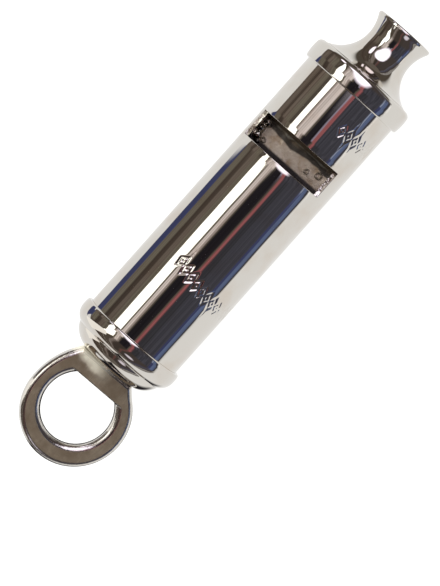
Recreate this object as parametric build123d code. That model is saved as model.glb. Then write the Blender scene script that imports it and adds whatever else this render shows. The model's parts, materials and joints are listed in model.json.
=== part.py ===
from build123d import *
import os
from math import cos, radians, sin, sqrt

# A nickel-plated two-tone tube whistle with a swivelling lanyard ring.
#
# Frame: the tube's axis is the X axis, with the mouthpiece towards +X and the lanyard ring towards -X.
# The origin is on that axis, halfway along the whole whistle. The two windows face +Z and -Z.
# Places along the whistle are "stations": the distance in millimetres from the lip of the mouthpiece.

# ---------------------------------------------------------------- driving dimensions, in millimetres

OVERALL_LENGTH = 82.0
SOLDER_GAP = 0.01  # room left between pieces that are soldered or riveted together
RUNNING_GAP = 0.06  # radial and axial play of the ring's swivel

TUBE_RADIUS = 8.1
TUBE_WALL = 0.6
TUBE_START = 9.52
TUBE_END = 62.2

WINDOW_START = 22.1
WINDOW_END = 26.65
WINDOW_HEIGHT = 3.72  # the saw cut's depth, as its height over the tube's axis

BAND_RADIUS = 8.8  # outside of both caps
HEAD_CAP_START = 8.8
HEAD_CAP_END = 12.2
HEAD_CAP_WALL = 0.7
HEAD_CORNER = 0.7
BAND_EDGE = 0.15

BLOW_BORE_RADIUS = 2.5
LIP_RADIUS = 4.77
LIP_THICKNESS = 0.62
DISH_RADIUS = 4.4
DISH_DEPTH = 2.0
NECK_RADIUS = 3.9
NECK_STATION = 3.6
FLARE_CURVE = 5.45
FLARE_EDGE = 0.1
SPIGOT_RADIUS = 3.4
SPIGOT_END = HEAD_CAP_START + HEAD_CAP_WALL

BLOCK_START = 16.0
BLOCK_HEIGHT = 6.4  # flat top of each block; the windway lies between it and the tube
SEPTUM_THICKNESS = 0.8
STOP_THICKNESS = 0.8
SHORT_CHAMBER_END = 53.2
LONG_CHAMBER_END = 61.3

BASE_CAP_START = 59.7
BASE_SHOULDER_START = 61.0
BASE_STEP_START = 63.05
BASE_STEP_RADIUS = 7.55
BASE_DOME_START = 63.45
BASE_DOME_RADIUS = 7.4
BASE_DOME_MIDDLE = (64.6, 6.45)  # station and radius
BASE_LAND_RADIUS = 4.65
BASE_LAND_WALL = 0.72
BASE_CAVITY_RADIUS = 6.9

RING_TURN = 25.0  # degrees from the windows, as the ring happens to hang
RING_THICKNESS = 2.2
RING_RADIUS = 8.4
RING_STATION = OVERALL_LENGTH - RING_RADIUS
RING_SIDE = -0.9  # the ring is stamped a little to one side of its foot
WIDE_SHOULDER_ANGLE = -4.0  # degrees above the ring's middle where this shoulder begins
NARROW_SHOULDER_ANGLE = 48.0  # the same for the other shoulder
RING_EDGE = 0.85  # rounding of the outer rims
FOOT_START = 65.5
FOOT_HALF_WIDTH = 4.7
EYE_RADIUS = 5.5
EYE_STATION = 73.1
EYE_SIDE = -0.75
EYE_FLAT_STATION = 68.95
EYE_EDGE = 1.05  # rounding of the eye's rims

TINY = 0.01  # two sizes this close are the same

SHANK_RADIUS = 1.05
SHANK_ROOT = 1.0  # how far the round shank runs into the flat foot
WASHER_RADIUS = 3.5
WASHER_THICKNESS = 0.6
PEENED_HEAD_RADIUS = 1.8
PEENED_HEAD_THICKNESS = 0.6

# ---------------------------------------------------------------- sizes worked out from those

BORE_OF_TUBE = TUBE_RADIUS - TUBE_WALL
INSERT_RADIUS = BORE_OF_TUBE - SOLDER_GAP  # what is soldered inside the tube
CAP_BORE = TUBE_RADIUS + SOLDER_GAP
LAND_STATION = FOOT_START - RUNNING_GAP  # the base cap's flat end, under the ring's foot
CAVITY_END = LAND_STATION - BASE_LAND_WALL
WASHER_END = CAVITY_END - RUNNING_GAP
WASHER_START = WASHER_END - WASHER_THICKNESS
HEAD_END = WASHER_START - SOLDER_GAP
HEAD_START = HEAD_END - PEENED_HEAD_THICKNESS


def x_at(station):
    """The X place of a station."""
    return OVERALL_LENGTH / 2 - station


def point(station, radius):
    """A point of a turned piece's outline."""
    return (x_at(station), radius)


def turned(*outline):
    """A solid of revolution about the X axis from a closed outline drawn above it."""
    return revolve(make_face(outline), Axis.X, 360)


def disc(start, end, radius, hole_radius=0):
    """A round plate, with or without a hole, between two stations."""
    corners = [(start, hole_radius), (start, radius), (end, radius), (end, hole_radius)]
    return turned(Polyline(*[point(*corner) for corner in corners], close=True))


def slab(start, end, low_z, high_z):
    """A box across the whole whistle between two stations and two heights."""
    size = (end - start, 2 * BAND_RADIUS, high_z - low_z)
    return Pos(x_at((start + end) / 2), 0, (low_z + high_z) / 2) * Box(*size)


def flipped(solid):
    """The same piece on the rear side of the whistle."""
    return Rot(X=180) * solid


# ---------------------------------------------------------------- tube and caps


def body_tube():
    """The barrel, with a window sawn straight across each side."""
    tube = disc(TUBE_START, TUBE_END, TUBE_RADIUS, BORE_OF_TUBE)
    window = slab(WINDOW_START, WINDOW_END, WINDOW_HEIGHT, TUBE_RADIUS + 1)
    return tube - window - flipped(window)


def head_cap():
    """The cup over the tube's blowing end, with the mouthpiece's hole in its top."""
    hole = SPIGOT_RADIUS + SOLDER_GAP
    corner_end = point(HEAD_CAP_START + HEAD_CORNER, BAND_RADIUS)
    flat_end = point(HEAD_CAP_START, BAND_RADIUS - HEAD_CORNER)
    return turned(
        Line(point(HEAD_CAP_START, hole), flat_end),
        TangentArc(flat_end, corner_end, tangent=(0, 1)),
        Polyline(
            corner_end,
            point(HEAD_CAP_END - BAND_EDGE, BAND_RADIUS),
            point(HEAD_CAP_END, BAND_RADIUS - BAND_EDGE),
            point(HEAD_CAP_END, CAP_BORE),
            point(SPIGOT_END, CAP_BORE),
            point(SPIGOT_END, hole),
            point(HEAD_CAP_START, hole),
        ),
    )


def base_cap():
    """The domed cup over the tube's other end, with the ring shank's hole in its flat land."""
    hole = SHANK_RADIUS + RUNNING_GAP
    shoulder_start = point(BASE_SHOULDER_START, BAND_RADIUS)
    step_start = point(BASE_STEP_START, BASE_STEP_RADIUS)
    dome_start = point(BASE_DOME_START, BASE_DOME_RADIUS)
    land_edge = point(LAND_STATION, BASE_LAND_RADIUS)
    return turned(
        Polyline(
            point(BASE_CAP_START, CAP_BORE),
            point(BASE_CAP_START, BAND_RADIUS - BAND_EDGE),
            point(BASE_CAP_START + BAND_EDGE, BAND_RADIUS),
            shoulder_start,
        ),
        TangentArc(shoulder_start, step_start, tangent=(-1, 0)),
        Line(step_start, dome_start),
        ThreePointArc(dome_start, point(*BASE_DOME_MIDDLE), land_edge),
        Polyline(
            land_edge,
            point(LAND_STATION, hole),
            point(CAVITY_END, hole),
            point(CAVITY_END, BASE_LAND_RADIUS),
            point(BASE_DOME_START, BASE_CAVITY_RADIUS - BASE_LAND_WALL / 2),
            point(TUBE_END, BASE_CAVITY_RADIUS),
            point(TUBE_END, CAP_BORE),
            point(BASE_CAP_START, CAP_BORE),
        ),
    )


def mouthpiece():
    """A turned spool: dished lip, narrow neck, wide flare and a spigot through the head cap."""
    lip_bottom = point(LIP_THICKNESS, LIP_RADIUS - BAND_EDGE / 2)
    neck = point(NECK_STATION, NECK_RADIUS)
    flare_run = HEAD_CAP_START - FLARE_EDGE - NECK_STATION
    flare_rise = FLARE_CURVE - sqrt(FLARE_CURVE**2 - flare_run**2)
    flare_end = point(HEAD_CAP_START - FLARE_EDGE, NECK_RADIUS + flare_rise)
    dish_top = point(0, DISH_RADIUS)
    dish_bottom = point(DISH_DEPTH, BLOW_BORE_RADIUS)
    return turned(
        Polyline(
            dish_top,
            point(0, LIP_RADIUS - BAND_EDGE),
            point(BAND_EDGE, LIP_RADIUS),
            point(LIP_THICKNESS - BAND_EDGE, LIP_RADIUS),
            lip_bottom,
        ),
        TangentArc(neck, lip_bottom, tangent=(1, 0)),
        TangentArc(neck, flare_end, tangent=(-1, 0)),
        Polyline(
            flare_end,
            point(HEAD_CAP_START, NECK_RADIUS + flare_rise),
            point(HEAD_CAP_START, SPIGOT_RADIUS),
            point(SPIGOT_END, SPIGOT_RADIUS),
            point(SPIGOT_END, BLOW_BORE_RADIUS),
            dish_bottom,
        ),
        TangentArc(dish_bottom, dish_top, tangent=(1, 0)),
    )


# ---------------------------------------------------------------- sounding parts inside the tube


def half_round(start, end, top):
    """A half disc that fills the tube over the septum, cut flat at the given height."""
    return disc(start, end, INSERT_RADIUS) & slab(start, end, SEPTUM_THICKNESS / 2 + SOLDER_GAP, top)


def windway_block():
    """The block in front of a window. Air passes over its flat top and across the window."""
    return half_round(BLOCK_START, WINDOW_START, BLOCK_HEIGHT)


def septum_plate():
    """The flat plate that splits the tube into two half-round chambers."""
    half_thickness = SEPTUM_THICKNESS / 2
    return disc(BLOCK_START, LONG_CHAMBER_END, INSERT_RADIUS) & slab(
        BLOCK_START, LONG_CHAMBER_END, -half_thickness, half_thickness
    )


def short_chamber_stop():
    """The half disc that ends the rear chamber early, which gives the second, higher note."""
    return flipped(half_round(SHORT_CHAMBER_END, SHORT_CHAMBER_END + STOP_THICKNESS, TUBE_RADIUS))


def tube_end_disc():
    """The disc that closes the tube and ends the long chamber."""
    start = LONG_CHAMBER_END + SOLDER_GAP
    return disc(start, start + STOP_THICKNESS, INSERT_RADIUS)


# ---------------------------------------------------------------- lanyard ring and its swivel


def ring_outline():
    """The flat ring seen square on: a circle whose shoulders run up into a straight foot."""
    wide = radians(WIDE_SHOULDER_ANGLE)
    narrow = radians(NARROW_SHOULDER_ANGLE)
    wide_side = point(RING_STATION - RING_RADIUS * sin(wide), RING_SIDE + RING_RADIUS * cos(wide))
    narrow_side = point(RING_STATION - RING_RADIUS * sin(narrow), RING_SIDE - RING_RADIUS * cos(narrow))
    wide_foot = point(FOOT_START, FOOT_HALF_WIDTH)
    narrow_foot = point(FOOT_START, -FOOT_HALF_WIDTH)
    return make_face(
        [
            ThreePointArc(narrow_side, point(OVERALL_LENGTH, RING_SIDE), wide_side),
            TangentArc(wide_side, wide_foot, tangent=(cos(wide), -sin(wide))),
            Line(wide_foot, narrow_foot),
            TangentArc(narrow_side, narrow_foot, tangent=(cos(narrow), sin(narrow))),
        ]
    )


def lanyard_eye():
    """The space of the eye: a round hole with a straight side at the foot."""
    side = 4 * EYE_RADIUS
    past_flat = Pos(x_at(EYE_FLAT_STATION) - side / 2, 0, 0) * Box(side, side, side)
    return (Pos(x_at(EYE_STATION), EYE_SIDE, 0) * Cylinder(EYE_RADIUS, 2 * RING_THICKNESS)) & past_flat


def lanyard_ring():
    """The stamped ring with a round shank that passes into the base cap and is peened there."""
    half_thickness = RING_THICKNESS / 2
    blank = extrude(ring_outline(), half_thickness, both=True)
    rims = blank.edges().filter_by(lambda edge: abs(edge.center().Z) > half_thickness / 2)
    ring = fillet(rims, RING_EDGE) - lanyard_eye()
    circles = ring.edges().filter_by(GeomType.CIRCLE)
    eye_rims = circles.filter_by(lambda edge: abs(edge.radius - EYE_RADIUS) < TINY)
    ring = fillet(eye_rims, EYE_EDGE)
    shank = disc(HEAD_START, FOOT_START + SHANK_ROOT, SHANK_RADIUS)
    peened_head = turned(
        Polyline(
            point(HEAD_START, 0),
            point(HEAD_START, SHANK_RADIUS),
            point(HEAD_END - PEENED_HEAD_THICKNESS / 2, PEENED_HEAD_RADIUS),
            point(HEAD_END, PEENED_HEAD_RADIUS),
            point(HEAD_END, 0),
            close=True,
        )
    )
    return Rot(X=RING_TURN) * (ring + shank + peened_head)


def retaining_washer():
    """The washer under the peened head that keeps the ring's shank in the base cap."""
    return disc(WASHER_START, WASHER_END, WASHER_RADIUS, SHANK_RADIUS + SOLDER_GAP)


# ---------------------------------------------------------------- one file for each piece

PIECES = {
    "body_tube": body_tube(),
    "head_cap": head_cap(),
    "mouthpiece": mouthpiece(),
    "windway_block_front": windway_block(),
    "windway_block_rear": flipped(windway_block()),
    "septum_plate": septum_plate(),
    "short_chamber_stop": short_chamber_stop(),
    "tube_end_disc": tube_end_disc(),
    "base_cap": base_cap(),
    "lanyard_ring": lanyard_ring(),
    "retaining_washer": retaining_washer(),
}

os.makedirs("parts", exist_ok=True)
for name, piece in PIECES.items():
    export_step(piece, f"parts/{name}.step")
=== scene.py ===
"""The looks of a nickel-plated two-tone tube whistle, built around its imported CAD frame.

The whistle lies on a pale table with its axis along X, and its mouthpiece towards +X.
Lengths are in metres, and MM turns millimetres into them.
"""

import json
import math

import bmesh
import bpy
import numpy as np
from mathutils import Matrix, Vector, noise

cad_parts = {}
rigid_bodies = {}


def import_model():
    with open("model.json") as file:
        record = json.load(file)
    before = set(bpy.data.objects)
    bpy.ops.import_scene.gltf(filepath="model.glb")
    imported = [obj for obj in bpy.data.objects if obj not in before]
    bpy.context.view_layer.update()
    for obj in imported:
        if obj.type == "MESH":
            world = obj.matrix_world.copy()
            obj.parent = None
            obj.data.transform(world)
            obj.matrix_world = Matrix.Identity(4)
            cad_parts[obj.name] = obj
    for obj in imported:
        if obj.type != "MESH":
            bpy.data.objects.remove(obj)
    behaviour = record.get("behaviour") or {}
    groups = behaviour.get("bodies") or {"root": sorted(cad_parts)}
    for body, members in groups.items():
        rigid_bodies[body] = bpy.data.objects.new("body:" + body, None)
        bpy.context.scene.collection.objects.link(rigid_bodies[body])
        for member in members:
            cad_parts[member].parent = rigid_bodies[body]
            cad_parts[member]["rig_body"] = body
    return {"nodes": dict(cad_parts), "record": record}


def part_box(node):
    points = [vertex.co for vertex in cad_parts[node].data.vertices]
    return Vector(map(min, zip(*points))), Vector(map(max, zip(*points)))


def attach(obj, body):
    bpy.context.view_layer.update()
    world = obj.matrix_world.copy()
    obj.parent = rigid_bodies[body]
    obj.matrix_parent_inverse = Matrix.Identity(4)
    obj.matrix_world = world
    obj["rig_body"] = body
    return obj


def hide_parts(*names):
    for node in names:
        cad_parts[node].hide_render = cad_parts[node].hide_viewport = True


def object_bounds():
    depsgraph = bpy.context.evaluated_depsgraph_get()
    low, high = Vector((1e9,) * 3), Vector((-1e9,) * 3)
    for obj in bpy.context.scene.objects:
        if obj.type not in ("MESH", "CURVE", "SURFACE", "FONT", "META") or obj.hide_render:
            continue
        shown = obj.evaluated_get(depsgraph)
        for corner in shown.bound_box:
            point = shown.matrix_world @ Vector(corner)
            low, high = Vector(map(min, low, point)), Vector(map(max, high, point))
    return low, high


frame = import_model()
cad_low, cad_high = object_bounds()

MM = 0.001

# ---------------------------------------------------------------- the camera's place round the whistle

CAMERA_DISTANCE = 0.59
CAMERA_ROLL = math.radians(9.5)  # from straight above the window, towards -Y
CAMERA_TILT = math.radians(2.6)  # from square to the axis, towards the mouthpiece
AXIS_RISE = math.radians(48.3)  # the whistle's axis over the picture's horizontal
PICTURE_SIZE = (440, 586)
PICTURE_PER_MM = 6.83  # how many of the picture's pixels a millimetre of the whistle takes
CENTRE_OFFSET = (-0.161 * MM, 7.599 * MM)  # the whistle's place in the picture: right and up of its middle
SENSOR = 36.0

ALONG = Vector((1, 0, 0))
ABOVE = Vector((0, -math.sin(CAMERA_ROLL), math.cos(CAMERA_ROLL)))  # camera side, square to the axis
RIGHT = Vector((0, -math.cos(CAMERA_ROLL), -math.sin(CAMERA_ROLL)))  # right of the upright whistle


# ---------------------------------------------------------------- node trees in few words


class Nodes:
    """A short way to write a node tree. Values may be sockets or plain numbers."""

    def __init__(self, tree):
        self.tree = tree
        tree.nodes.clear()

    def add(self, kind, **settings):
        node = self.tree.nodes.new(kind)
        for name, value in settings.items():
            setattr(node, name, value)
        return node

    def put(self, node, **inputs):
        for name, value in inputs.items():
            self.feed(node.inputs[name.replace("_", " ")], value)
        return node

    def feed(self, socket, value):
        if isinstance(value, bpy.types.NodeSocket):
            self.tree.links.new(value, socket)
        elif hasattr(socket.default_value, "__len__") and len(value) < len(socket.default_value):
            socket.default_value = (*value, 1.0)
        else:
            socket.default_value = value

    def math(self, operation, *values, clamp=False):
        node = self.add("ShaderNodeMath", operation=operation, use_clamp=clamp)
        for socket, value in zip(node.inputs, values):
            self.feed(socket, value)
        return node.outputs[0]

    def product(self, first, *others):
        for other in others:
            first = self.math("MULTIPLY", first, other)
        return first

    def vector(self, operation, *values):
        node = self.add("ShaderNodeVectorMath", operation=operation)
        for socket, value in zip(node.inputs, values):
            self.feed(socket, value)
        return node.outputs["Value" if operation in ("DOT_PRODUCT", "LENGTH") else "Vector"]

    def scaled(self, vector, scale):
        node = self.add("ShaderNodeVectorMath", operation="MULTIPLY")
        self.feed(node.inputs[0], vector)
        self.feed(node.inputs[1], scale)
        return node.outputs["Vector"]

    def noise(self, vector, scale, detail=2.0, roughness=0.5):
        node = self.add("ShaderNodeTexNoise")
        self.put(node, Vector=vector, Scale=scale, Detail=detail, Roughness=roughness)
        return node.outputs["Fac"]

    def cells(self, vector, scale):
        node = self.add("ShaderNodeTexVoronoi")
        self.put(node, Vector=vector, Scale=scale)
        return node.outputs["Distance"]

    def between(self, value, start, end, low=0.0, high=1.0):
        node = self.add("ShaderNodeMapRange", interpolation_type="SMOOTHSTEP")
        for socket, item in zip(node.inputs, (value, start, end, low, high)):
            self.feed(socket, item)
        return node.outputs["Result"]

    def mix(self, share, first, second):
        node = self.add("ShaderNodeMix", data_type="RGBA")
        self.feed(node.inputs["Factor"], share)
        self.feed(node.inputs[6], first)
        self.feed(node.inputs[7], second)
        return node.outputs[2]

    def output(self, shader, kind="ShaderNodeOutputMaterial"):
        self.feed(self.add(kind).inputs["Surface"], shader.outputs[0])

    def ramp(self, value, stops):
        node = self.add("ShaderNodeValToRGB")
        elements = node.color_ramp.elements
        while len(elements) < len(stops):
            elements.new(0.5)
        for element, (place, colour) in zip(elements, stops):
            element.position = place
            element.color = (*colour, 1.0)
        self.feed(node.inputs["Fac"], value)
        return node.outputs["Color"]

    def bump(self, height, depth, normal=None):
        node = self.add("ShaderNodeBump")
        self.put(node, Height=height, Distance=depth, Strength=1.0)
        if normal is not None:
            self.feed(node.inputs["Normal"], normal)
        return node.outputs["Normal"]

    def place_in_mm(self):
        coordinates = self.add("ShaderNodeTexCoord")
        return self.scaled(coordinates.outputs["Object"], (1000, 1000, 1000))


def material(name, base):
    """A new material, its node writer and its principled shader, joined to the output."""
    made = bpy.data.materials.new(name)
    made.use_nodes = True
    nodes = Nodes(made.node_tree)
    shader = nodes.add("ShaderNodeBsdfPrincipled")
    nodes.put(shader, **base)
    nodes.output(shader)
    return made, nodes, shader


# ---------------------------------------------------------------- materials

NICKEL = (0.70, 0.67, 0.62)
NICKEL_WARM = (0.66, 0.60, 0.53)
SATIN = (0.70, 0.60, 0.44)
SATIN_DARK = (0.44, 0.35, 0.24)
# the colour of the painted highlight on the ring's face by its foot
SATIN_HIGHLIGHT = (0.95, 0.90, 0.74)
# the ring's painted highlight by its foot fades in between two places, in millimetres: along X from the base
# cap, then along Y
HIGHLIGHT_ALONG = (-2.4, -0.9)
HIGHLIGHT_ACROSS = (-2.5, 1.5)
SPECK = (0.05, 0.04, 0.035)
# painted shade on the window floor against the windway block
PAINTED_BLOCK_SHADE = (0.060, 0.052, 0.045)
# brown flux stain with painted shade, nearest the windway block
FLUX_STAIN_AND_SHADE = (0.16, 0.12, 0.08)
# painted shade along the window floor's edge towards the ring
WINDOW_EDGE_SHADE = (0.03, 0.025, 0.025)
SOLDER = (0.92, 0.88, 0.76)
# ramps from dark to light, as (place on the ramp, colour)
BRASS_STAINS = ((0.35, (0.10, 0.08, 0.06)), (0.5, (0.33, 0.28, 0.24)), (0.7, (0.46, 0.40, 0.35)))
FLOOR_STAINS = ((0.30, (0.32, 0.24, 0.17)), (0.5, (0.44, 0.37, 0.30)), (0.72, (0.52, 0.46, 0.39)))
SAWN_COLOURS = ((0.38, (0.16, 0.13, 0.10)), (0.5, (0.62, 0.58, 0.50)), (0.62, (0.80, 0.77, 0.72)))


def polished_nickel():
    """Bright plating: nearly a mirror, with slow waves, hairline scratches and faint smudges."""
    made, nodes, shader = material("polished_nickel", {"Metallic": 1.0})
    place = nodes.place_in_mm()
    smudge = nodes.noise(place, 0.25, detail=4)
    hairline = nodes.noise(nodes.scaled(place, (6.0, 0.6, 0.6)), 3.0, detail=5, roughness=0.7)
    rough = nodes.math("MULTIPLY_ADD", nodes.between(smudge, 0.45, 0.75), 0.05, 0.025)
    rough = nodes.math("MULTIPLY_ADD", nodes.between(hairline, 0.6, 0.8), 0.05, rough)
    waves = nodes.noise(nodes.scaled(place, (0.35, 1.0, 1.0)), 0.45, detail=1)
    normal = nodes.bump(waves, 0.012 * MM)
    normal = nodes.bump(hairline, 0.0004 * MM, normal)
    nodes.put(shader, Base_Color=nodes.mix(nodes.between(smudge, 0.4, 0.8), NICKEL, NICKEL_WARM))
    nodes.put(shader, Roughness=rough, Normal=normal)
    return made


def satin_nickel(face_normal, foot):
    """The ring's plating: brushed and dull on its flat faces, brighter on its rims, with a pale painted
    highlight on the face by its foot.
    """
    made, nodes, shader = material("satin_nickel", {})
    place = nodes.place_in_mm()
    coordinates = nodes.add("ShaderNodeTexCoord")
    facing = nodes.vector("DOT_PRODUCT", coordinates.outputs["Normal"], tuple(face_normal))
    flat = nodes.between(nodes.math("ABSOLUTE", facing), 0.986, 0.999)
    axes = nodes.add("ShaderNodeSeparateXYZ")
    nodes.put(axes, Vector=place)
    streaks = nodes.noise(nodes.scaled(place, (0.5, 5.0, 5.0)), 1.6, detail=6, roughness=0.75)
    patches = nodes.noise(place, 0.35, detail=3)
    mottle = nodes.noise(place, 2.2, detail=4, roughness=0.7)
    colour = nodes.mix(nodes.between(patches, 0.35, 0.7), SATIN_DARK, SATIN)
    colour = nodes.mix(nodes.between(mottle, 0.3, 0.75, 0.0, 0.35), colour, SATIN_DARK)
    colour = nodes.mix(nodes.between(streaks, 0.38, 0.62, 0.0, 0.5), colour, SATIN_DARK)
    # painted highlight: a pale, less metallic patch on the face by the foot
    near_foot = nodes.math("MULTIPLY_ADD", nodes.math("SUBTRACT", patches, 0.5), 3.0, axes.outputs["X"])
    foot_highlight = nodes.between(near_foot, *(foot / MM + edge for edge in HIGHLIGHT_ALONG))
    foot_highlight = nodes.product(foot_highlight, nodes.between(axes.outputs["Y"], *HIGHLIGHT_ACROSS))
    colour = nodes.mix(flat, NICKEL, colour)
    colour = nodes.mix(foot_highlight, colour, SATIN_HIGHLIGHT)
    dull_face, dull_highlight = nodes.product(flat, 0.16), nodes.product(foot_highlight, 0.6)
    dull = nodes.math("MAXIMUM", dull_face, dull_highlight)
    rough = nodes.math("MULTIPLY_ADD", streaks, 0.18, 0.30)
    rough = nodes.math("MULTIPLY", rough, nodes.math("MULTIPLY_ADD", flat, 0.7, 0.3))
    normal = nodes.bump(streaks, 0.010 * MM)
    normal = nodes.bump(nodes.noise(place, 1.1, detail=2), 0.03 * MM, normal)
    nodes.put(shader, Base_Color=colour, Roughness=rough, Normal=normal)
    nodes.put(shader, Metallic=nodes.math("SUBTRACT", 1.0, dull))
    return made


def stained_brass():
    """The unpolished inside: thin plating over brass, with flux stains, pits and solder specks."""
    made, nodes, shader = material("stained_brass", {"Metallic": 0.85})
    place = nodes.place_in_mm()
    stain = nodes.noise(place, 0.55, detail=5, roughness=0.6)
    speck = nodes.cells(place, 1.3)
    grain = nodes.noise(place, 5.0, detail=4, roughness=0.7)
    colour = nodes.ramp(stain, BRASS_STAINS)
    colour = nodes.mix(nodes.between(speck, 0.16, 0.08), colour, SPECK)
    height = nodes.math("ADD", nodes.between(speck, 0.05, 0.22), nodes.product(grain, 0.4))
    nodes.put(shader, Base_Color=colour, Roughness=nodes.math("MULTIPLY_ADD", grain, 0.25, 0.25))
    nodes.put(shader, Normal=nodes.bump(height, 0.05 * MM))
    return made


def solder_stain(floor, block_face, window_start):
    """The windows' floors: plated brass under old flux, with painted shade and a flux stain by the block,
    painted shade along the edge towards the ring, and bright solder.
    """
    made, nodes, shader = material("solder_stain", {})
    place = nodes.place_in_mm()
    axes = nodes.add("ShaderNodeSeparateXYZ")
    nodes.put(axes, Vector=place)
    x = axes.outputs["X"]
    drift = nodes.noise(nodes.scaled(place, (0.15, 1.0, 1.0)), 0.16, detail=2)
    mottle = nodes.noise(place, 0.7, detail=4, roughness=0.55)
    grain = nodes.noise(place, 6.0, detail=3, roughness=0.7)
    colour = nodes.ramp(mottle, FLOOR_STAINS)
    # painted shade on the floor against the windway block; nearest the block a brown flux stain, darkened as
    # painted shade
    from_block = nodes.math("SUBTRACT", block_face / MM, x)
    shade_distance = nodes.math("MULTIPLY_ADD", nodes.math("SUBTRACT", drift, 0.5), 2.2, from_block)
    colour = nodes.mix(nodes.between(shade_distance, 1.75, 1.45), colour, PAINTED_BLOCK_SHADE)
    colour = nodes.mix(nodes.between(nodes.math("ADD", shade_distance, grain), 1.6, 0.8), colour, FLUX_STAIN_AND_SHADE)
    # painted shade along the window's edge towards the ring, where the tube overhangs the floor
    from_edge = nodes.math("SUBTRACT", x, window_start / MM)
    colour = nodes.mix(nodes.between(from_edge, 0.85, 0.45), colour, WINDOW_EDGE_SHADE)
    height = nodes.math("SUBTRACT", nodes.math("ABSOLUTE", axes.outputs["Z"]), floor / MM)
    solder = nodes.math("MULTIPLY", nodes.between(height, 0.18, 0.35), nodes.between(from_block, 0.4, 0.9))
    colour = nodes.mix(solder, colour, SOLDER)
    rough = nodes.math("MULTIPLY_ADD", grain, 0.3, 0.22)
    rough = nodes.math("MULTIPLY", rough, nodes.between(solder, 0, 1, 1.0, 0.4))
    normal = nodes.bump(mottle, 0.08 * MM, nodes.bump(grain, 0.012 * MM))
    nodes.put(shader, Base_Color=colour, Roughness=rough, Normal=normal)
    nodes.put(shader, Metallic=nodes.between(solder, 0, 1, 0.75, 1.0))
    return made


def sawn_metal():
    """The window's cut faces: bright, lumpy plating over saw marks and solder."""
    made, nodes, shader = material("sawn_metal", {"Metallic": 1.0})
    place = nodes.place_in_mm()
    lumps = nodes.noise(place, 0.7, detail=3, roughness=0.55)
    marks = nodes.noise(nodes.scaled(place, (4.0, 0.8, 4.0)), 1.2, detail=3)
    colour = nodes.ramp(lumps, SAWN_COLOURS)
    nodes.put(shader, Base_Color=colour, Roughness=nodes.math("MULTIPLY_ADD", marks, 0.2, 0.12))
    nodes.put(shader, Normal=nodes.bump(lumps, 0.3 * MM, nodes.bump(marks, 0.01 * MM)))
    return made


# ---------------------------------------------------------------- outlines of the turned pieces

CORNER = math.radians(25)  # a sharper turn is an edge, a softer one lies on a curve
CURVE_STEP = 0.12 * MM
LINE_STEP = 0.2 * MM
LONG_SIDE = 2.5  # times its neighbour: a side this long is straight, and its neighbour an arc


def section(node):
    """The closed outline of a turned CAD node, as (x, radius) points in order round it."""
    mesh = bmesh.new()
    mesh.from_mesh(frame["nodes"][node].data)
    bmesh.ops.remove_doubles(mesh, verts=mesh.verts, dist=1e-7)
    everything = mesh.verts[:] + mesh.edges[:] + mesh.faces[:]
    cut = bmesh.ops.bisect_plane(mesh, geom=everything, dist=1e-7, plane_co=(0, 0, 0), plane_no=(0, 0, 1))
    edges = [item for item in cut["geom_cut"] if isinstance(item, bmesh.types.BMEdge)]
    sides = {}
    for edge in edges:
        if min(vertex.co.y for vertex in edge.verts) > -1e-7:
            first, second = (tuple(round(c, 7) for c in vertex.co.xy) for vertex in edge.verts)
            sides.setdefault(first, []).append(second)
            sides.setdefault(second, []).append(first)
    mesh.free()
    start = max(sides)
    outline, here, before = [], start, None
    while True:
        outline.append(Vector(here))
        here, before = next(point for point in sides[here] if point != before), here
        if here == start:
            return outline


def tangents(points):
    """The directions of an outline as it arrives at and leaves each of its points."""
    count = len(points)
    side = [points[(i + 1) % count] - points[i] for i in range(count)]
    smooth = [None] * count
    for i in range(count):
        before, after = side[i - 1], side[i]
        if before.angle(after) > CORNER:
            continue
        if before.length > LONG_SIDE * after.length:
            smooth[i] = before.normalized()
        elif after.length > LONG_SIDE * before.length:
            smooth[i] = after.normalized()
        else:
            blend = before.normalized() * after.length + after.normalized() * before.length
            smooth[i] = blend.normalized()
    leave, arrive = list(smooth), list(smooth)
    for i in range(count):
        following = (i + 1) % count
        chord = side[i].normalized()
        if smooth[i] is None:
            far = smooth[following]
            leave[i] = chord if far is None else 2 * far.dot(chord) * chord - far
        if smooth[following] is None:
            near = smooth[i]
            arrive[following] = chord if near is None else 2 * near.dot(chord) * chord - near
    return leave, arrive, [direction is None for direction in smooth]


def hermite(start, end, leaving, arriving, share):
    """A point of the smooth curve between two points with the given end directions."""
    length = (end - start).length
    s2, s3 = share * share, share**3
    return (
        (2 * s3 - 3 * s2 + 1) * start
        + (s3 - 2 * s2 + share) * length * leaving
        + (3 * s2 - 2 * s3) * end
        + (s3 - s2) * length * arriving
    )


def softened(points, edge_radius, rounding_steps=6):
    """An outline with smooth curves between its points and every sharp edge rounded."""
    leave, arrive, corner = tangents(points)
    count = len(points)
    made = []
    for i in range(count):
        following = (i + 1) % count
        start, end = points[i], points[following]
        length = (end - start).length
        trim = min(edge_radius, 0.4 * length) / length
        first = trim if corner[i] else 0.0
        last = 1 - trim if corner[following] else 1.0
        straight = leave[i].angle(arrive[following]) < 1e-3
        steps = max(1, math.ceil(length * (last - first) / (LINE_STEP if straight else CURVE_STEP)))
        shares = [first + (last - first) * step / steps for step in range(steps + 1)]
        if straight and length > 8 * edge_radius:
            margin = 0.3 * edge_radius / length
            shares = sorted(shares + [first + margin, last - margin])
        run = [hermite(start, end, leave[i], arrive[following], share) for share in shares]
        made.extend(run if corner[following] else run[:-1])
        if corner[following]:
            after = points[(following + 1) % count]
            after_trim = min(edge_radius, 0.4 * (after - end).length) / (after - end).length
            beyond = hermite(end, after, leave[following], arrive[(following + 1) % count], after_trim)
            here = run[-1]
            for step in range(1, rounding_steps):
                share = step / rounding_steps
                made.append((1 - share) ** 2 * here + 2 * share * (1 - share) * end + share**2 * beyond)
    return made


# ---------------------------------------------------------------- meshes


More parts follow.
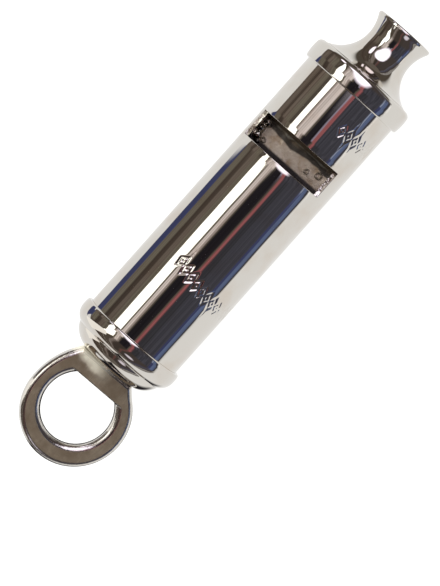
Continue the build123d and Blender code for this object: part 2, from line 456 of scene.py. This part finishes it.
def new_piece(name, vertices, faces, materials, face_materials=None):
    """A smooth-shaded mesh piece."""
    mesh = bpy.data.meshes.new(name)
    mesh.from_pydata([tuple(v) for v in vertices], [], faces)
    for item in materials:
        mesh.materials.append(item)
    if face_materials is not None:
        mesh.polygons.foreach_set("material_index", face_materials)
    mesh.polygons.foreach_set("use_smooth", [True] * len(mesh.polygons))
    mesh.validate()
    mesh.update()
    made = bpy.data.objects.new(name, mesh)
    bpy.context.scene.collection.objects.link(made)
    return made


def turn_outwards(mesh, sharp):
    """Drop a closed mesh's unused points, turn its faces outwards and mark edges past an angle as sharp."""
    work = bmesh.new()
    work.from_mesh(mesh)
    bmesh.ops.delete(work, geom=[vertex for vertex in work.verts if not vertex.link_faces], context="VERTS")
    bmesh.ops.recalc_face_normals(work, faces=work.faces)
    work.to_mesh(mesh)
    work.free()
    mesh.set_sharp_from_angle(angle=math.radians(sharp))


def lathe(name, outline, materials, segments=288):
    """A closed surface of revolution about the X axis, with its faces outwards."""
    turns = [2 * math.pi * step / segments for step in range(segments)]
    vertices = [(p.x, p.y * math.cos(t), p.y * math.sin(t)) for t in turns for p in outline]
    count = len(outline)
    area = sum(a.x * b.y - b.x * a.y for a, b in zip(outline, outline[1:] + outline[:1]))
    faces = []
    for ring in range(segments):
        near, far = ring * count, (ring + 1) % segments * count
        for i in range(count):
            j = (i + 1) % count
            face = (near + i, near + j, far + j, far + i)
            faces.append(face if area > 0 else face[::-1])
    return new_piece(name, vertices, faces, materials)


def turned_piece(name, node, edge_radius, materials, shape=None):
    """A finer copy of a turned CAD node, with rounded edges, standing for that node."""
    outline = softened(section(node), edge_radius)
    if shape is not None:
        outline = [shape(point) for point in outline]
    made = lathe(name, outline, materials)
    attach(made, frame["nodes"][node]["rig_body"])
    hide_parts(node)
    return made


CROWN_DEPTH = 0.2 * MM  # how far the head cap's band falls away from its middle to its edges
ROLL_OVER_DEPTH = 0.14 * MM  # how far the base cap's band falls away at its edge
ROLL_OVER_LENGTH = 0.9 * MM


def eased_band(point):
    """A point of the base cap's outline, moved so that the band's edge towards the tube rolls over."""
    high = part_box("base_cap")[1]
    share = min(max((point.x - high.x) / ROLL_OVER_LENGTH + 1, 0.0), 1.0)
    outside = min(max((point.y - 0.95 * high.z) / (0.03 * high.z), 0.0), 1.0)
    return Vector((point.x, point.y - ROLL_OVER_DEPTH * share**2 * outside))


def crowned_band(point):
    """A point of the head cap's outline, moved so that the band swells at its middle."""
    low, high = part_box("head_cap")
    share = (point.x - (low.x + high.x) / 2) / ((high.x - low.x) / 2)
    outside = min(max((point.y - 0.9 * high.z) / (0.06 * high.z), 0.0), 1.0)
    return Vector((point.x, point.y - CROWN_DEPTH * share**2 * outside))


# ---------------------------------------------------------------- the tube and its windows


def tube_sizes():
    """The tube's ends, radii and window, read from its CAD mesh."""
    low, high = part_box("body_tube")
    points = [vertex.co for vertex in frame["nodes"]["body_tube"].data.vertices]
    inner = min(math.hypot(point.y, point.z) for point in points)
    middle = [point for point in points if low.x + MM < point.x < high.x - MM]
    return {
        "start": low.x,
        "end": high.x,
        "outer": high.z,
        "inner": inner,
        "window_start": min(point.x for point in middle),
        "window_end": max(point.x for point in middle),
        "window_height": min(abs(point.z) for point in middle),
    }


def spaced(stops, step):
    """Places from the first stop to the last that hold every stop. The step may depend on the place."""
    places = []
    for start, end in zip(stops, stops[1:]):
        here = step((start + end) / 2) if callable(step) else step
        count = max(1, math.ceil(abs(end - start) / here - 1e-9))
        places.extend(start + (end - start) * i / count for i in range(count))
    return places + [stops[-1]]


def at_station(station):
    """The X place of a distance in millimetres from the lip of the mouthpiece."""
    return cad_high.x - station * MM


# ---------------------------------------------------------------- the stamped ornament

STROKE = 0.17 * MM  # half width of a punched line
PUNCH_DEPTH = 0.11 * MM
LOZENGE = (0.62 * MM, 1.0 * MM)  # half width and half height
DOT_RADIUS = 0.08 * MM
ARC_MIDDLE = math.radians(-64.5)  # turn from +Z of the arc's lowest mark
ARC_STATION = 48.4  # both stations are in millimetres from the mouthpiece's lip
ARC_RADIUS = 23.5 * MM
ARC_SPAN = 19.4 * MM
ARC_MARKS = 16
ROW_STATION = 17.0
ROW_START, ROW_END = math.radians(-30), math.radians(-80)
ROW_MARKS = 6


def ornament_marks(radius):
    """Where the generic punched marks are: (x, turn, lean)."""
    marks = []
    for step in range(ARC_MARKS):
        arc_place = ARC_SPAN * (step / (ARC_MARKS - 1) - 0.5)
        lean = math.asin(arc_place / ARC_RADIUS)
        x = at_station(ARC_STATION) + ARC_RADIUS * (1 - math.cos(lean))
        marks.append((x, ARC_MIDDLE + arc_place / radius, lean))
    for step in range(ROW_MARKS):
        turn = ROW_START + (ROW_END - ROW_START) * step / (ROW_MARKS - 1)
        marks.append((at_station(ROW_STATION), turn, 0.0))
    return marks


def punched(x, turn, radius):
    """How deep the ornament is at every place of a grid of x and turn."""
    depth = np.zeros(np.broadcast(x, turn).shape)
    for mark_x, mark_turn, lean in ornament_marks(radius):
        lengthways = x - mark_x
        sideways = ((turn - mark_turn + math.pi) % (2 * math.pi) - math.pi) * radius
        across = sideways * math.cos(lean) + lengthways * math.sin(lean)
        up = lengthways * math.cos(lean) - sideways * math.sin(lean)
        rim = np.abs(across) / LOZENGE[0] + np.abs(up) / LOZENGE[1] - 1
        off = np.abs(rim) * LOZENGE[0] * LOZENGE[1] / math.hypot(*LOZENGE)
        off = np.minimum(off, np.maximum(np.hypot(across, up) - DOT_RADIUS, 0))
        depth = np.maximum(depth, PUNCH_DEPTH * np.exp(-((off / STROKE) ** 2)))
    return depth


# ---------------------------------------------------------------- the barrel

EDGE_DROP = 0.10 * MM  # rounding of the window's outer edge
ROLL_DEPTH = 0.07 * MM  # how far buffing has drawn the tube in towards the window
ROLL_WIDTH = 0.45 * MM
EDGE_STEPS = (0.0, 0.012, 0.035, 0.065, 0.1, 0.15, 0.22, 0.32, 0.45, 0.6, 0.8, 1.1, 1.5)  # mm from an edge
FINE_STEP = 0.12 * MM  # mesh step where the ornament is
WALL_STEP = 1.0 * MM  # along the plain barrel, which is straight
WALL_TURN = math.radians(1.5)  # round the plain barrel


def edge_drop(distance):
    """How far the tube's surface lies under its full radius near a window's edge."""
    inside = np.clip(EDGE_DROP - distance, 0, EDGE_DROP)
    rounding = EDGE_DROP - np.sqrt(EDGE_DROP**2 - inside**2)
    return rounding + ROLL_DEPTH * np.exp(-((distance / ROLL_WIDTH) ** 2))


def folded(turn):
    """The angle from the nearer window's middle, from 0 to a quarter turn."""
    return np.minimum(np.mod(turn, math.pi), math.pi - np.mod(turn, math.pi))


def tube_rows(size):
    """Where the barrel's mesh has its rows along X."""
    steps = [step * MM for step in EDGE_STEPS]
    rows = {size["start"], size["end"], size["window_start"], size["window_end"]}
    rows |= {size["window_start"] - step for step in steps} | {size["window_end"] + step for step in steps}
    half_mark = LOZENGE[1] + 2 * STROKE
    marked = []
    for station in (ROW_STATION, ARC_STATION):
        rise = ARC_SPAN**2 / 8 / ARC_RADIUS if station == ARC_STATION else 0.0
        marked.append((at_station(station) - half_mark, at_station(station) + rise + half_mark))
        rows |= set(marked[-1])

    def step(x):
        return FINE_STEP if any(low < x < high for low, high in marked) else WALL_STEP

    return np.array(spaced(sorted(rows), step))


def tube_turns(size, edge):
    """Where the barrel's mesh has its columns, as turns from +Z in one whole turn."""
    quarter = math.pi / 2
    near = [step * MM / size["outer"] for step in EDGE_STEPS]
    near = [edge + step for step in near if edge + step < quarter]
    half_mark = (LOZENGE[0] + 2 * STROKE) / size["outer"]
    half_arc = ARC_SPAN / 2 / size["outer"] + half_mark
    marked = (ARC_MIDDLE - half_arc, ARC_MIDDLE + half_arc)
    turns = {0.0, 2 * math.pi}
    for middle in (0.0, math.pi, 2 * math.pi):
        for side in (-1, 1):
            turns |= {middle + side * turn for turn in near + [quarter]}
    turns = {turn for turn in turns if 0.0 <= turn <= 2 * math.pi}
    turns |= {marked[0] % (2 * math.pi), marked[1] % (2 * math.pi)}

    def step(turn):
        inside = marked[0] < turn < marked[1] or marked[0] < turn - 2 * math.pi < marked[1]
        return FINE_STEP / size["outer"] if inside else WALL_TURN

    merged = [0.0]
    for turn in sorted(turns):
        if turn - merged[-1] > 1e-4:
            merged.append(turn)
    return np.array(spaced(merged, step)[:-1])


def tube_piece(outside, inside, cut):
    """The barrel with both windows, their rounded edges and its stamped ornament."""
    size = tube_sizes()
    outer, inner, height = size["outer"], size["inner"], size["window_height"]
    edge, inner_edge = math.acos(height / outer), math.acos(height / inner)
    rows, turns = tube_rows(size), tube_turns(size, edge)
    x, turn = np.meshgrid(rows, turns, indexing="ij")

    share = folded(turn)
    off_x = np.maximum(np.maximum(size["window_start"] - x, x - size["window_end"]), 0)
    gap = np.hypot(off_x, np.maximum(share - edge, 0) * outer)
    radius = outer - edge_drop(gap) - punched(x, turn, outer)
    outer_points = np.stack((x, radius * np.sin(turn), radius * np.cos(turn)), axis=-1)

    # the inner wall's turns are moved a little, so that a window's sides are flat
    quarter = math.pi / 2
    stretch = (quarter - inner_edge) / (quarter - edge)
    moved = np.where(share < edge, share * inner_edge / edge, quarter - (quarter - share) * stretch)
    middle = np.round(turn / math.pi) * math.pi
    inner_turn = middle + np.where(turn >= middle, moved, -moved)
    inner_points = np.stack((x, inner * np.sin(inner_turn), inner * np.cos(inner_turn)), axis=-1)

    columns = len(turns)
    following = np.append(turns[1:], 2 * math.pi)
    middle_x, middle_turn = np.meshgrid((rows[1:] + rows[:-1]) / 2, (turns + following) / 2, indexing="ij")
    open_x = (middle_x > size["window_start"]) & (middle_x < size["window_end"])
    kept = ~(open_x & (folded(middle_turn) < edge))
    wall = outer_points.size // 3

    def corner(i, j):
        return i * columns + j % columns

    def is_kept(i, j):
        return 0 <= i < kept.shape[0] and kept[i, j % columns]

    faces, kinds = [], []
    for i, j in np.argwhere(kept).tolist():
        a, b, c, d = corner(i, j), corner(i + 1, j), corner(i + 1, j + 1), corner(i, j + 1)
        faces += [(a, d, c, b), (wall + a, wall + b, wall + c, wall + d)]
        kinds += [0, 1]
        sides = (((i - 1, j), a, d), ((i + 1, j), c, b), ((i, j - 1), b, a), ((i, j + 1), d, c))
        for neighbour, first, second in sides:
            if not is_kept(*neighbour):
                faces.append((first, wall + first, wall + second, second))
                kinds.append(2)
    vertices = np.concatenate((outer_points.reshape(-1, 3), inner_points.reshape(-1, 3)))
    made = new_piece("tube_shell", vertices.tolist(), faces, (outside, inside, cut), kinds)
    turn_outwards(made.data, sharp=50)
    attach(made, "whistle")
    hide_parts("body_tube")
    return made


# ---------------------------------------------------------------- solder in the windows

BED_REACH = 1.0 * MM  # how far the solder runs on under the tube, past the window
BED_HALF_WIDTH = 7.28 * MM
BED_THICKNESS = 0.04 * MM
BED_STEP = 0.09 * MM
BED_TOP = 1.7 * MM  # the solder never stands higher than this
BLOCK_CREEP = 0.8 * MM  # its rise against the block
SIDE_CREEP = 0.5 * MM  # its rise against the tube's wall
BUBBLE_RISE = 0.15 * MM
BUBBLE_RIM = 0.09 * MM
# lumps of solder: place along and across the window from its middle, radius and height, in millimetres
LUMPS = ((1.1, 6.2, 0.75, 0.7), (-0.1, 6.45, 0.7, 0.9), (-1.2, 6.2, 0.65, 0.6), (-1.9, 5.6, 0.4, 0.2),
         (0.9, -6.6, 0.5, 0.4), (-1.4, -6.7, 0.45, 0.35))
# rings left by burst flux bubbles: the same places, then radius
BUBBLES = ((0.2, -4.7, 0.45), (-0.5, -2.9, 0.3), (-1.2, 5.0, 0.32))


def solder_height(x, y, middle, block_face):
    """How high the solder stands over the septum at a place of the window's floor."""
    ripple = noise.fractal(Vector((x, y, 0.3)) / (1.1 * MM), 0.8, 2.0, 4)
    height = BED_THICKNESS * (1 + 0.35 * ripple)
    creep = 0.45 * MM * (1 + 0.5 * noise.noise(Vector((0, y, 0)) / (1.6 * MM)))
    height += BLOCK_CREEP * math.exp(-(block_face - x) / creep)
    height += SIDE_CREEP * math.exp(-(BED_HALF_WIDTH - abs(y)) / (0.22 * MM))
    for along, across, radius, rise in LUMPS:
        off = math.hypot(x - middle - along * MM, y - across * MM) / (radius * MM)
        height += rise * MM * math.sqrt(1 - off**2) * (1 + 0.3 * ripple) if off < 1 else 0.0
    for along, across, radius in BUBBLES:
        off = (math.hypot(x - middle - along * MM, y - across * MM) - radius * MM) / BUBBLE_RIM
        height += BUBBLE_RISE * math.exp(-(off**2))
    return min(height, BED_TOP)


def solder_bed(name, surface, rear):
    """The flux-stained solder on the window's floor: a closed sheet with a lumpy top."""
    size = tube_sizes()
    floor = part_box("septum_plate")[1].z
    block_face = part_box("windway_block_front")[0].x
    middle = (size["window_start"] + size["window_end"]) / 2
    xs = spaced((size["window_start"] - BED_REACH, block_face - 0.005 * MM), BED_STEP)
    ys = spaced((-BED_HALF_WIDTH, BED_HALF_WIDTH), BED_STEP)
    top = [(x, y, floor + solder_height(x, y, middle, block_face)) for x in xs for y in ys]
    bottom = [(x, y, floor) for x in xs for y in ys]
    if rear:
        top = [(x, -y, -z) for x, y, z in top]
        bottom = [(x, -y, -z) for x, y, z in bottom]
    across, count = len(ys), len(top)
    faces = []
    for i in range(len(xs) - 1):
        for j in range(across - 1):
            a = i * across + j
            faces.append((a, a + across, a + across + 1, a + 1))
            faces.append((count + a, count + a + 1, count + a + across + 1, count + a + across))
    rim = list(range(across - 1)) + list(range(across - 1, count - 1, across))
    rim += list(range(count - 1, count - across, -1)) + list(range(count - across, 0, -across))
    for here, there in zip(rim, rim[1:] + rim[:1]):
        faces.append((here, there, count + there, count + here))
    made = new_piece(name, top + bottom, faces, (surface,))
    turn_outwards(made.data, sharp=60)
    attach(made, "whistle")
    return made


# ---------------------------------------------------------------- the ring


def ring_normal():
    """The normal of the ring's flat face at rest, from the lanyard eye's mount."""
    mount = next(item for item in frame["record"]["mounts"] if item["name"] == "lanyard_eye")
    return Vector(mount["axis"]).normalized()


def ring_piece(surface, voxel=0.09 * MM, smoothing=6):
    """The ring and its shank with softly rounded, stamped edges."""
    normal = ring_normal()
    turn = Matrix.Rotation(math.atan2(-normal.y, normal.z), 4, "X")
    mesh = frame["nodes"]["lanyard_ring"].data.copy()
    mesh.transform(turn.inverted())
    made = bpy.data.objects.new("ring_plate", mesh)
    bpy.context.scene.collection.objects.link(made)
    weld = made.modifiers.new("weld", "WELD")
    weld.merge_threshold = 0.001 * MM
    remesh = made.modifiers.new("remesh", "REMESH")
    remesh.mode = "VOXEL"
    remesh.voxel_size = voxel
    smooth = made.modifiers.new("smooth", "SMOOTH")
    smooth.factor = 0.5
    smooth.iterations = smoothing
    graph = bpy.context.evaluated_depsgraph_get()
    final = bpy.data.meshes.new_from_object(made.evaluated_get(graph))
    made.modifiers.clear()
    made.data = final
    final.transform(turn)
    final.materials.clear()
    final.materials.append(surface)
    final.polygons.foreach_set("use_smooth", [True] * len(final.polygons))
    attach(made, "ring")
    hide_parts("lanyard_ring")
    return made


# ---------------------------------------------------------------- studio

TENT_RADIUS = 0.3
TENT_HALF_LENGTH = 1.0
TENT_LEFT = math.radians(-100)  # where the tent ends, as angles from the camera towards RIGHT
TENT_RIGHT = math.radians(84)
TABLE_HEIGHT = cad_low.z
TABLE_EXTENT = 6.0
CARD_SIDE = 0.05  # the reflecting card's place along Y, its ends along X and its top
CARD_ENDS = (-0.040, -0.075)
CARD_TOP = 0.07
SOFTBOX_ANGLE = math.radians(-41)  # from the camera towards RIGHT
SOFTBOX_DISTANCE = 0.7
PALE = (0.97, 0.965, 0.95)

# The colours that the polished metal mirrors.
BOX_WHITE = (2.3, 2.3, 2.2)
PANEL_WHITE = (1.9, 1.8, 2.1)
CREAM = (1.16, 1.14, 1.10)
MIRRORED_TABLE = (1.0, 1.0, 1.0)
NAVY = (0.06, 0.07, 0.17)
BROWN = (0.16, 0.13, 0.11)
DARK_BROWN = (0.075, 0.058, 0.048)
OLIVE = (0.17, 0.15, 0.12)
UMBER = (0.10, 0.085, 0.07)
TAUPE = (0.74, 0.66, 0.64)
DIM_TAUPE = (0.45, 0.38, 0.36)
BLACK = (0.018, 0.016, 0.02)
LAVENDER = (0.40, 0.36, 0.48)
RED = (0.36, 0.12, 0.13)
SLATE = (0.062, 0.062, 0.08)
DARK_SLATE = (0.045, 0.045, 0.055)
BLUE = (0.12, 0.16, 0.30)
PALE_BLUE = (0.30, 0.35, 0.50)

# Bands of colour round the tent: each starts at an angle in degrees from the camera towards RIGHT.
# One set is seen in the whistle's head, the other in its body.
HEAD_BANDS = (
    (-180, NAVY), (-110, OLIVE), (-105, BROWN), (-85, DARK_BROWN), (-78, BROWN), (-68, OLIVE), (-57, UMBER),
    (-35.5, DIM_TAUPE), (-32, TAUPE), (-13, UMBER), (-9, BLACK), (4, LAVENDER), (6.5, RED), (14, SLATE),
    (62, PALE_BLUE), (65, BLUE), (73, SLATE), (79, MIRRORED_TABLE),
)
BODY_BANDS = (
    (-180, NAVY), (-98, OLIVE), (-82, DARK_BROWN), (-71, BROWN), (-60, OLIVE), (-27, TAUPE), (-20, DIM_TAUPE),
    (-16, UMBER), (-13, BLACK), (6, UMBER), (9, RED), (15, DARK_SLATE), (30, SLATE), (61, NAVY), (66, BLUE),
    (75, DARK_SLATE), (79, MIRRORED_TABLE),
)
BAND_SOFTNESS = 1.4  # degrees over which one band turns into the next
MOST_BANDS = 15  # a colour ramp holds 32 stops, and a band takes two
HEAD_PART = (0.004, 0.018)  # where, along the tent, the body's bands give way to the head's
BOX_MIDDLES = (-40.5, -43.5)  # the white strip's angle and half width, in the body and in the head
BOX_HALF_WIDTHS = (9.8, 6.0)
WOBBLE = 9.0  # degrees by which slow waves bend the bands
# soft white panels: middle angle, half angle, middle and half length along the tent
TOP_PANEL = (0, 28, 0.22, 0.17)
LEFT_PANEL = (-50, 8, 0.25, 0.10)
REAR_PANEL = (38, 12, -0.36, 0.08)

# Edges of the dark patches that reflections show on the table, each as the two places it fades between.
SHADOW_RIGHT = (-0.014, -0.009)
SHADOW_START = (-0.024, -0.028)
NAVY_NEAR, NAVY_FAR = (0.052, 0.058), (0.60, 0.50)
NAVY_FRONT, NAVY_BACK = (0.013, 0.007), (-0.040, -0.032)
NAVY_SLANT = 0.07  # how far the strip's back edge leans for each metre out
ROOM_SLANT = 0.75  # how much further ahead the dark room's edge lies for each metre to a side

TABLE_GLOW = 0.93
TABLE_GREY = (0.28, 0.28, 0.275)
ROOM_LIGHT = (0.75, 0.74, 0.72)
MIRRORED_ROOM = (0.16, 0.14, 0.125)


def band_colour(nodes, angle, bands):
    """The colour of the tent's bands at an angle. A set too long for one ramp is halved."""
    if len(bands) > MOST_BANDS:
        middle = len(bands) // 2
        past = nodes.math("GREATER_THAN", angle, bands[middle][0] - BAND_SOFTNESS)
        lower = band_colour(nodes, angle, bands[: middle + 1])
        return nodes.mix(past, lower, band_colour(nodes, angle, bands[middle - 1 :]))
    share = nodes.math("DIVIDE", nodes.math("ADD", angle, 180.0), 360.0)
    stops = [(0.0, bands[0][1])]
    half = BAND_SOFTNESS / 2
    for (start, colour), (_, before) in zip(bands[1:], bands):
        stops += [((start - half + 180) / 360, before), ((start + half + 180) / 360, colour)]
    return nodes.ramp(share, stops)


def multiplied(nodes, colour, factor):
    """A colour made lighter or darker."""
    node = nodes.add("ShaderNodeVectorMath", operation="SCALE")
    nodes.feed(node.inputs[0], colour)
    nodes.feed(node.inputs["Scale"], factor)
    return node.outputs["Vector"]


def oval(nodes, angle, along, panel, softness=0.35):
    """A soft-edged oval panel on the tent: 1 inside, 0 outside."""
    middle_angle, half_angle, middle_along, half_along = panel
    sideways = nodes.math("DIVIDE", nodes.math("SUBTRACT", angle, middle_angle), half_angle)
    lengthways = nodes.math("DIVIDE", nodes.math("SUBTRACT", along, middle_along), half_along)
    squares = nodes.math("MULTIPLY_ADD", sideways, sideways, nodes.product(lengthways, lengthways))
    return nodes.between(squares, 1 + softness, 1 - softness)


def white_strip(nodes, angle, along, head):
    """The softbox's reflection, which narrows towards both ends: 1 inside, 0 outside."""
    middle = nodes.between(head, 0, 1, *BOX_MIDDLES)
    half = nodes.between(head, 0, 1, *BOX_HALF_WIDTHS)
    taper = nodes.product(nodes.between(along, 0.16, 0.03), nodes.between(along, -0.24, -0.06))
    middle = nodes.math("ADD", middle, nodes.between(along, -0.05, -0.14, 0.0, -8.0))
    off_middle = nodes.math("ABSOLUTE", nodes.math("SUBTRACT", angle, middle))
    inside = nodes.math("SUBTRACT", nodes.product(half, taper), off_middle)
    return nodes.between(inside, -BAND_SOFTNESS / 2, BAND_SOFTNESS / 2)


def studio_colour(nodes, place):
    """The colour of the surroundings at a place on the tent."""
    across = nodes.vector("DOT_PRODUCT", place, tuple(RIGHT))
    up = nodes.vector("DOT_PRODUCT", place, tuple(ABOVE))
    along = nodes.vector("DOT_PRODUCT", place, tuple(ALONG))
    angle = nodes.product(nodes.math("ARCTAN2", across, up), 180 / math.pi)
    wobble = nodes.math("SUBTRACT", nodes.noise(nodes.scaled(place, (9.0, 2.0, 2.0)), 1.0, detail=2), 0.5)
    angle = nodes.math("MULTIPLY_ADD", wobble, WOBBLE, angle)
    rearward = nodes.between(along, -0.03, -0.4, 0.0, 14.0)
    forward = nodes.between(along, 0.06, 0.3, 0.0, 9.0)
    angle = nodes.math("ADD", angle, nodes.math("ADD", rearward, forward))

    head = nodes.between(along, *HEAD_PART)
    colour = nodes.mix(head, band_colour(nodes, angle, BODY_BANDS), band_colour(nodes, angle, HEAD_BANDS))
    spread = nodes.add("ShaderNodeCombineXYZ")
    nodes.put(spread, X=angle, Y=nodes.product(along, 12.0))
    streaks = nodes.noise(spread.outputs[0], 0.45, detail=4, roughness=0.7)
    colour = multiplied(nodes, colour, nodes.between(streaks, 0.3, 0.7, 0.62, 1.38))
    ends = nodes.between(nodes.math("ABSOLUTE", along), 0.07, 0.13, 0.0, 0.75)
    colour = nodes.mix(ends, colour, DARK_BROWN)

    colour = nodes.mix(white_strip(nodes, angle, along, head), colour, BOX_WHITE)
    colour = nodes.mix(oval(nodes, angle, along, TOP_PANEL), colour, PANEL_WHITE)
    colour = nodes.mix(oval(nodes, angle, along, LEFT_PANEL), colour, PANEL_WHITE)
    faint = nodes.product(oval(nodes, angle, along, REAR_PANEL, softness=0.8), 0.45)
    return nodes.mix(faint, colour, PANEL_WHITE)


def emitter(name):
    """A new material that only glows, its node writer and its emission node."""
    made = bpy.data.materials.new(name)
    made.use_nodes = True
    made.cycles.emission_sampling = "NONE"
    nodes = Nodes(made.node_tree)
    return made, nodes, nodes.add("ShaderNodeEmission")


def show_in_reflections_only(piece):
    """Make a staging piece one that only the whistle's reflections show."""
    piece.visible_camera = False
    piece.visible_diffuse = False
    piece.visible_shadow = False


def tent():
    """A light tent round the whistle, seen only in its reflections."""
    arc = spaced((TENT_LEFT, TENT_RIGHT), math.radians(2))
    profile = [RIGHT * math.sin(a) * TENT_RADIUS + ABOVE * math.cos(a) * TENT_RADIUS for a in arc]
    vertices = [ALONG * side * TENT_HALF_LENGTH + point for side in (-1, 1) for point in profile]
    count = len(profile)
    faces = [(i, i + 1, count + i + 1, count + i) for i in range(count - 1)]
    lining, nodes, glow = emitter("tent_lining")
    place = nodes.add("ShaderNodeTexCoord").outputs["Object"]
    nodes.put(glow, Color=studio_colour(nodes, place), Strength=1.0)
    nodes.output(glow)
    show_in_reflections_only(new_piece("light_tent", vertices, faces, (lining,)))


def table():
    """The pale table. Reflections show a shadow, a navy strip and the dark room ahead on it."""
    corners = [(-TABLE_EXTENT, -TABLE_EXTENT), (TABLE_EXTENT, -TABLE_EXTENT)]
    corners += [(TABLE_EXTENT, TABLE_EXTENT), (-TABLE_EXTENT, TABLE_EXTENT)]
    vertices = [(x, y, TABLE_HEIGHT) for x, y in corners]
    top, nodes, glow = emitter("pale_table")
    axes = nodes.add("ShaderNodeSeparateXYZ")
    nodes.put(axes, Vector=nodes.add("ShaderNodeTexCoord").outputs["Object"])
    x, y = axes.outputs["X"], axes.outputs["Y"]
    sideways = nodes.math("ABSOLUTE", y)
    ahead = nodes.math("MULTIPLY_ADD", sideways, -ROOM_SLANT, nodes.math("SUBTRACT", x, cad_high.x))
    ring_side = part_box("lanyard_ring")[1].y
    shadow = nodes.product(
        nodes.between(y, ring_side, 0.6 * ring_side),
        nodes.between(y, *SHADOW_RIGHT),
        nodes.between(x, *SHADOW_START),
    )
    slanted = nodes.math("MULTIPLY_ADD", y, NAVY_SLANT, x)
    navy_strip = nodes.product(
        nodes.between(y, *NAVY_NEAR),
        nodes.between(y, *NAVY_FAR),
        nodes.between(x, *NAVY_FRONT),
        nodes.between(slanted, *NAVY_BACK),
    )
    seen = nodes.mix(navy_strip, MIRRORED_TABLE, NAVY)
    seen = nodes.mix(nodes.between(ahead, 0.0, 0.02), seen, UMBER)
    seen = nodes.mix(shadow, seen, BLACK)
    path = nodes.add("ShaderNodeLightPath")
    nodes.put(glow, Color=nodes.mix(path.outputs["Is Glossy Ray"], PALE, seen), Strength=TABLE_GLOW)
    diffuse = nodes.add("ShaderNodeBsdfDiffuse")
    nodes.put(diffuse, Color=nodes.mix(path.outputs["Is Glossy Ray"], TABLE_GREY, (0, 0, 0)))
    both = nodes.add("ShaderNodeAddShader")
    nodes.feed(both.inputs[0], diffuse.outputs[0])
    nodes.feed(both.inputs[1], glow.outputs[0])
    nodes.output(both)
    new_piece("table_top", vertices, [(0, 1, 2, 3)], (top,))


def cream_card():
    """An upright card to the left of the ring, seen only in reflections."""
    near, far = CARD_ENDS
    corners = ((near, TABLE_HEIGHT), (far, TABLE_HEIGHT), (far, CARD_TOP), (near, CARD_TOP))
    lining, nodes, glow = emitter("card_face")
    nodes.put(glow, Color=CREAM, Strength=1.0)
    nodes.output(glow)
    vertices = [(x, CARD_SIDE, z) for x, z in corners]
    show_in_reflections_only(new_piece("cream_card", vertices, [(0, 1, 2, 3)], (lining,)))


def softbox():
    """The main light: a long soft strip on the left, beside the camera."""
    direction = RIGHT * math.sin(SOFTBOX_ANGLE) + ABOVE * math.cos(SOFTBOX_ANGLE)
    light = bpy.data.lights.new("softbox", "AREA")
    light.shape = "RECTANGLE"
    light.size = 0.9
    light.size_y = 0.25
    light.energy = 5.0
    made = bpy.data.objects.new("softbox", light)
    made.location = direction * SOFTBOX_DISTANCE
    back = direction.normalized()
    across = back.cross(ALONG).normalized()
    made.rotation_mode = "QUATERNION"
    made.rotation_quaternion = Matrix((ALONG, across, back)).transposed().to_quaternion()
    made.visible_glossy = False
    made.visible_camera = False
    bpy.context.scene.collection.objects.link(made)


def surroundings_light():
    """Even light from all round, paler where the camera sees it directly."""
    world = bpy.data.worlds.new("room")
    bpy.context.scene.world = world
    world.use_nodes = True
    nodes = Nodes(world.node_tree)
    path = nodes.add("ShaderNodeLightPath")
    colour = nodes.mix(path.outputs["Is Glossy Ray"], ROOM_LIGHT, MIRRORED_ROOM)
    colour = nodes.mix(path.outputs["Is Camera Ray"], colour, PALE)
    background = nodes.add("ShaderNodeBackground")
    nodes.put(background, Color=colour, Strength=1.0)
    nodes.output(background, "ShaderNodeOutputWorld")


def camera():
    """A long lens, nearly straight above the window, with the mouthpiece up and to the right."""
    toward = (ALONG * math.sin(CAMERA_TILT) + ABOVE * math.cos(CAMERA_TILT)).normalized()
    upright = (ALONG - toward * ALONG.dot(toward)).normalized()
    right = math.cos(AXIS_RISE) * upright + math.sin(AXIS_RISE) * RIGHT
    up = math.sin(AXIS_RISE) * upright - math.cos(AXIS_RISE) * RIGHT
    data = bpy.data.cameras.new("camera")
    data.sensor_width = SENSOR
    data.lens = SENSOR * CAMERA_DISTANCE / MM * PICTURE_PER_MM / max(PICTURE_SIZE)
    data.clip_start, data.clip_end = 0.05, 50.0
    made = bpy.data.objects.new("camera", data)
    bpy.context.scene.collection.objects.link(made)
    made.location = toward * CAMERA_DISTANCE - right * CENTRE_OFFSET[0] - up * CENTRE_OFFSET[1]
    made.rotation_mode = "QUATERNION"
    made.rotation_quaternion = Matrix((right, up, toward)).transposed().to_quaternion()
    bpy.context.scene.camera = made


# ---------------------------------------------------------------- the whole scene

polished = polished_nickel()
satin = satin_nickel(ring_normal(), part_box("base_cap")[0].x)
dull = stained_brass()
sawn = sawn_metal()

tube_piece(polished, dull, sawn)
turned_piece("head_cap_shell", "head_cap", 0.10 * MM, (polished,), crowned_band)
turned_piece("mouthpiece_spool", "mouthpiece", 0.08 * MM, (polished,))
turned_piece("base_cap_shell", "base_cap", 0.12 * MM, (polished,), eased_band)
ring_piece(satin)
window = tube_sizes()
septum_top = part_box("septum_plate")[1].z
floor_stain = solder_stain(septum_top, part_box("windway_block_front")[0].x, window["window_start"])
solder_bed("window_solder_front", floor_stain, rear=False)
solder_bed("window_solder_rear", floor_stain, rear=True)

for piece in frame["nodes"].values():
    if not piece.hide_render:
        piece.data.materials.clear()
        piece.data.materials.append(dull)

tent()
table()
cream_card()
softbox()
surroundings_light()
camera()

bpy.context.scene.view_settings.view_transform = "Standard"
